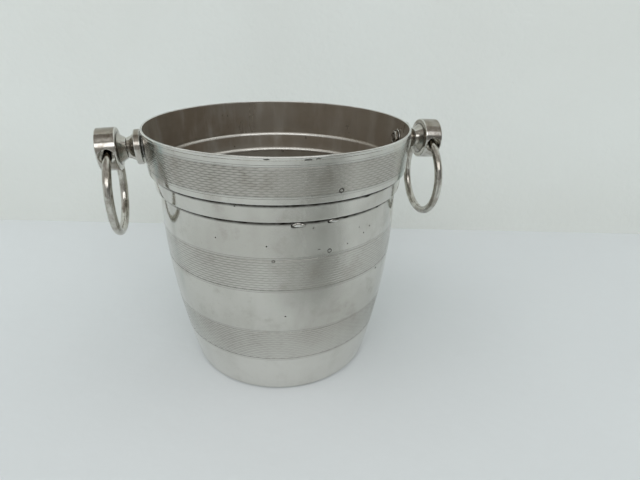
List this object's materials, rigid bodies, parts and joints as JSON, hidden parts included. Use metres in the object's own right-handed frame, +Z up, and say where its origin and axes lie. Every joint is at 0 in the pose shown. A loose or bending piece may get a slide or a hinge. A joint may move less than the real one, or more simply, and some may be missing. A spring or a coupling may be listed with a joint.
{
  "type": "champagne bucket",
  "caption": "Tapered metal bucket with a stepped collar and engraved bands, carried by loose rings in turned side handles, for chilling a bottle in ice.",
  "frame": {"origin": "centre of the foot, on the surface that the bucket stands on", "axes": "+Z up along the bucket's axis; +X towards the right-hand handle, so the two handles lie along X; +Y away from the front"},
  "size_m": [0.2486, 0.19, 0.185],
  "materials": {
    "plated_shell": "worn bright silver plate on spun brass, with engine-turned bands",
    "turned_silver": "turned and plated, satin from handling, tarnished in the corners",
    "ring_wire": "drawn wire, plated and rubbed",
    "fastener_metal": "dull plated"
  },
  "bodies": {
    "bucket": {"bucket_shell": "plated_shell", "boss_left": "turned_silver", "handle_head_left": "turned_silver", "washer_left": "fastener_metal", "nut_left": "fastener_metal", "boss_right": "turned_silver", "handle_head_right": "turned_silver", "washer_right": "fastener_metal", "nut_right": "fastener_metal"},
    "left_ring": {"ring_left": "ring_wire"},
    "right_ring": {"ring_right": "ring_wire"}
  },
  "joints": [
    {"name": "ring_left_swing", "type": "hinge", "parent": "bucket", "child": "left_ring", "pos_m": [-0.11688, 0, 0.16763], "axis": [0, 1, 0], "range_deg": [-27.5, 230]},
    {"name": "ring_right_swing", "type": "hinge", "parent": "bucket", "child": "right_ring", "pos_m": [0.11688, 0, 0.16763], "axis": [0, -1, 0], "range_deg": [-27.5, 230]}
  ]
}
